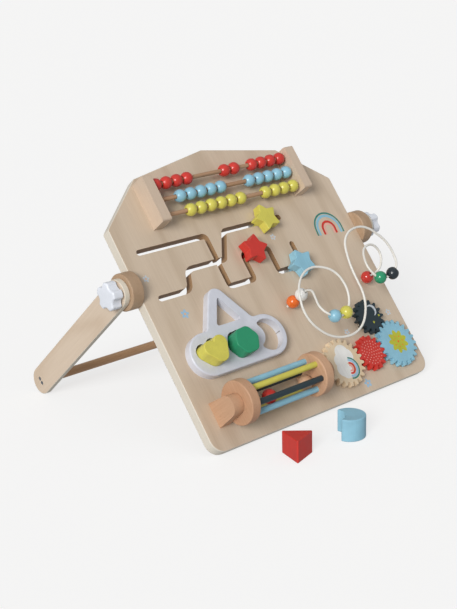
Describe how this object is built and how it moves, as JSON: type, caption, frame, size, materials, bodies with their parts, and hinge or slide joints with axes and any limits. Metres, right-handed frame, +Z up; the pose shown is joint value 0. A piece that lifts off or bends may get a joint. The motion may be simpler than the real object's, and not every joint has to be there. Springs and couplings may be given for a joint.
{
  "type": "busy board",
  "caption": "Leaning wooden play panel on a folding leg frame, with bead frame, star maze, shape sorter, rattle drum, meshing gears and a wire bead maze.",
  "frame": {"origin": "middle of the narrow flat on the panel's lower back edge, on the table that the object stands on", "axes": "+X to the right seen from the front, +Y to the back, +Z up"},
  "size_m": [0.4854, 0.4327, 0.3144],
  "materials": {
    "pale_ply": "clear matt lacquer over pale plywood",
    "beech": "fine sanded beech",
    "rod_wood": "bare turned hardwood rod",
    "white_lacquer": "satin white lacquer",
    "red_paint": "satin red paint",
    "blue_paint": "satin light blue paint",
    "yellow_paint": "satin yellow paint",
    "navy_paint": "satin dark navy paint",
    "green_paint": "satin green paint",
    "orange_paint": "satin orange paint",
    "white_paint": "satin white paint",
    "light_wood": "pale bare wood",
    "white_steel": "white powder coat on steel wire",
    "zinc": "bright zinc plated",
    "brass": "plain brass",
    "knob_plastic": "moulded white plastic",
    "glide_plastic": "moulded plain plastic"
  },
  "bodies": {
    "panel": {"board": "pale_ply", "abacus_block_left": "beech", "abacus_block_right": "beech", "abacus_rods": "rod_wood", "sorter_plate": "white_lacquer", "drum_bracket_left": "beech", "drum_bracket_right": "beech", "drum_axle_pins": "zinc", "maze_wire": "white_steel", "hub_left": "beech", "hub_right": "beech", "hub_dowels": "light_wood", "hub_inserts": "brass", "rear_screws": "zinc"},
    "stand": {"leg_left": "pale_ply", "leg_right": "pale_ply", "crossbar": "beech", "leg_screws": "zinc", "leg_washers": "zinc"},
    "knob_left": {"knob_left": "knob_plastic"},
    "knob_right": {"knob_right": "knob_plastic"},
    "drum": {"drum_disc_left": "beech", "drum_disc_right": "beech", "drum_rods_blue": "blue_paint", "drum_rods_yellow": "yellow_paint", "drum_rods_navy": "navy_paint"},
    "drum_ball_red": {"drum_ball_red": "red_paint"},
    "drum_ball_natural": {"drum_ball_natural": "light_wood"},
    "abacus_beads_red_left": {"abacus_beads_red_left": "red_paint"},
    "abacus_beads_red_middle": {"abacus_beads_red_middle": "red_paint"},
    "abacus_beads_red_right": {"abacus_beads_red_right": "red_paint"},
    "abacus_beads_blue_left": {"abacus_beads_blue_left": "blue_paint"},
    "abacus_beads_blue_right": {"abacus_beads_blue_right": "blue_paint"},
    "abacus_beads_yellow_left": {"abacus_beads_yellow_left": "yellow_paint"},
    "abacus_beads_yellow_right": {"abacus_beads_yellow_right": "yellow_paint"},
    "star_glide_yellow": {"star_glide_yellow": "glide_plastic"},
    "star_yellow": {"star_yellow": "yellow_paint"},
    "star_glide_red": {"star_glide_red": "glide_plastic"},
    "star_red": {"star_red": "red_paint"},
    "star_glide_blue": {"star_glide_blue": "glide_plastic"},
    "star_blue": {"star_blue": "blue_paint"},
    "gear_blue": {"gear_blue": "blue_paint", "gear_axle_blue": "light_wood"},
    "gear_red": {"gear_red": "red_paint", "gear_axle_red": "light_wood"},
    "gear_natural": {"gear_natural": "light_wood", "gear_axle_natural": "light_wood"},
    "gear_navy": {"gear_navy": "navy_paint", "gear_axle_navy": "light_wood"},
    "maze_bead_orange": {"maze_bead_orange": "orange_paint"},
    "maze_bead_white": {"maze_bead_white": "white_paint"},
    "maze_bead_blue": {"maze_bead_blue": "blue_paint"},
    "maze_bead_yellow": {"maze_bead_yellow": "yellow_paint"},
    "maze_bead_black": {"maze_bead_black": "navy_paint"},
    "maze_bead_green": {"maze_bead_green": "green_paint"},
    "maze_bead_red": {"maze_bead_red": "red_paint"},
    "block_yellow_heart": {"block_yellow_heart": "yellow_paint"},
    "block_green_hexagon": {"block_green_hexagon": "green_paint"},
    "block_red_triangle": {"block_red_triangle": "red_paint"},
    "block_blue_crescent": {"block_blue_crescent": "blue_paint"}
  },
  "joints": [
    {"name": "stand_fold", "type": "hinge", "parent": "panel", "child": "stand", "pos_m": [0, 0.13651, 0.18242], "axis": [-1, 0, 0], "range_deg": [-30, 86.4]},
    {"name": "knob_left_turn", "type": "hinge", "parent": "panel", "child": "knob_left", "pos_m": [-0.22865, 0.13651, 0.18242], "axis": [-1, 0, 0], "range_deg": [0, 360]},
    {"name": "knob_right_turn", "type": "hinge", "parent": "panel", "child": "knob_right", "pos_m": [0.22865, 0.13651, 0.18242], "axis": [1, 0, 0], "range_deg": [0, 360]},
    {"name": "abacus_red_left_slide", "type": "slide", "parent": "panel", "child": "abacus_beads_red_left", "axis": [1, 0, 0], "range_m": [0, 0.0488]},
    {"name": "abacus_red_middle_slide", "type": "slide", "parent": "panel", "child": "abacus_beads_red_middle", "axis": [1, 0, 0], "range_m": [-0.0488, 0.0153]},
    {"name": "abacus_red_right_slide", "type": "slide", "parent": "panel", "child": "abacus_beads_red_right", "axis": [1, 0, 0], "range_m": [-0.0153, 0]},
    {"name": "abacus_blue_left_slide", "type": "slide", "parent": "panel", "child": "abacus_beads_blue_left", "axis": [1, 0, 0], "range_m": [-0.02905, 0.03505]},
    {"name": "abacus_blue_right_slide", "type": "slide", "parent": "panel", "child": "abacus_beads_blue_right", "axis": [1, 0, 0], "range_m": [-0.03505, 0]},
    {"name": "abacus_yellow_left_slide", "type": "slide", "parent": "panel", "child": "abacus_beads_yellow_left", "axis": [1, 0, 0], "range_m": [-0.03505, 0.029]},
    {"name": "abacus_yellow_right_slide", "type": "slide", "parent": "panel", "child": "abacus_beads_yellow_right", "axis": [1, 0, 0], "range_m": [-0.029, 0]},
    {"name": "star_yellow_slide", "type": "slide", "parent": "panel", "child": "star_glide_yellow", "axis": [1, 0, 0], "range_m": [-0.063, 0.028]},
    {"name": "star_yellow_spin", "type": "hinge", "parent": "star_glide_yellow", "child": "star_yellow", "pos_m": [0.04, 0.15665, 0.22003], "axis": [0, -0.7848, 0.6198], "continuous": true},
    {"name": "star_red_slide", "type": "slide", "parent": "panel", "child": "star_glide_red", "axis": [1, 0, 0], "range_m": [-0.0088, 0.028]},
    {"name": "star_red_spin", "type": "hinge", "parent": "star_glide_red", "child": "star_red", "pos_m": [-0.004, 0.1331, 0.1902], "axis": [0, -0.7848, 0.6198], "continuous": true},
    {"name": "star_blue_slide", "type": "slide", "parent": "panel", "child": "star_glide_blue", "axis": [1, 0, 0], "range_m": [-0.03, 0.0048]},
    {"name": "star_blue_spin", "type": "hinge", "parent": "star_glide_blue", "child": "star_blue", "pos_m": [0.062, 0.11017, 0.16117], "axis": [0, -0.7848, 0.6198], "continuous": true},
    {"name": "drum_spin", "type": "hinge", "parent": "panel", "child": "drum", "pos_m": [-0.09125, -0.00735, 0.06157], "axis": [1, 0, 0], "continuous": true},
    {"name": "drum_ball_red_roll", "type": "slide", "parent": "drum", "child": "drum_ball_red", "axis": [1, 0, 0], "range_m": [-0.0301, 0.0435]},
    {"name": "drum_ball_natural_roll", "type": "slide", "parent": "drum", "child": "drum_ball_natural", "axis": [1, 0, 0], "range_m": [-0.0435, 0.0006]},
    {"name": "gear_blue_spin", "type": "hinge", "parent": "panel", "child": "gear_blue", "pos_m": [0.158, 0.01875, 0.04541], "axis": [0, -0.7848, 0.6198], "continuous": true},
    {"name": "gear_red_spin", "type": "hinge", "parent": "panel", "child": "gear_red", "pos_m": [0.104, 0.01875, 0.04541], "axis": [0, -0.7848, 0.6198], "continuous": true},
    {"name": "gear_natural_spin", "type": "hinge", "parent": "panel", "child": "gear_natural", "pos_m": [0.05, 0.01875, 0.04541], "axis": [0, -0.7848, 0.6198], "continuous": true},
    {"name": "gear_navy_spin", "type": "hinge", "parent": "panel", "child": "gear_navy", "pos_m": [0.13323, 0.04849, 0.08307], "axis": [0, -0.7848, 0.6198], "continuous": true},
    {"name": "maze_orange_spin", "type": "hinge", "parent": "panel", "child": "maze_bead_orange", "pos_m": [0.01619, 0.07362, 0.12957], "axis": [0.4133, -0.6092, 0.6768], "continuous": true},
    {"name": "maze_white_slide", "type": "slide", "parent": "panel", "child": "maze_bead_white", "axis": [0.4133, -0.6092, 0.6768], "range_m": [0, 0.0047]},
    {"name": "maze_blue_travel", "type": "hinge", "parent": "panel", "child": "maze_bead_blue", "pos_m": [0.04197, 0.02024, 0.13366], "axis": [-0.2676, -0.7835, 0.5608], "range_deg": [-24.83, 0]},
    {"name": "maze_yellow_travel", "type": "hinge", "parent": "panel", "child": "maze_bead_yellow", "pos_m": [0.04197, 0.02024, 0.13366], "axis": [-0.2676, -0.7835, 0.5608], "range_deg": [0, 45.52]},
    {"name": "maze_black_travel", "type": "hinge", "parent": "panel", "child": "maze_bead_black", "pos_m": [0.15743, 0.03965, 0.15819], "axis": [0.5148, 0.8276, -0.2236], "range_deg": [-80.21, 0]},
    {"name": "maze_green_travel", "type": "hinge", "parent": "panel", "child": "maze_bead_green", "pos_m": [0.15779, 0.04119, 0.15644], "axis": [0.5318, 0.7844, -0.3192], "range_deg": [0, 49.11]},
    {"name": "maze_red_slide", "type": "slide", "parent": "panel", "child": "maze_bead_red", "axis": [-0.2921, 0.7958, -0.5305], "range_m": [-0.0104, 0]},
    {"name": "block_yellow_heart_lift", "type": "slide", "parent": "panel", "child": "block_yellow_heart", "axis": [0, -0.7848, 0.6198], "range_m": [0, 0.035]},
    {"name": "block_green_hexagon_lift", "type": "slide", "parent": "panel", "child": "block_green_hexagon", "axis": [0, -0.7848, 0.6198], "range_m": [0, 0.035]},
    {"name": "block_red_triangle_lift", "type": "slide", "parent": "panel", "child": "block_red_triangle", "axis": [0, 0, 1], "range_m": [0, 0.06]},
    {"name": "block_blue_crescent_lift", "type": "slide", "parent": "panel", "child": "block_blue_crescent", "axis": [0, 0, 1], "range_m": [0, 0.06]}
  ],
  "couplings": [
    {"joint": "gear_red_spin", "follows": "gear_blue_spin", "ratio": -1.4},
    {"joint": "gear_natural_spin", "follows": "gear_blue_spin", "ratio": 1},
    {"joint": "gear_navy_spin", "follows": "gear_blue_spin", "ratio": -1.4}
  ]
}
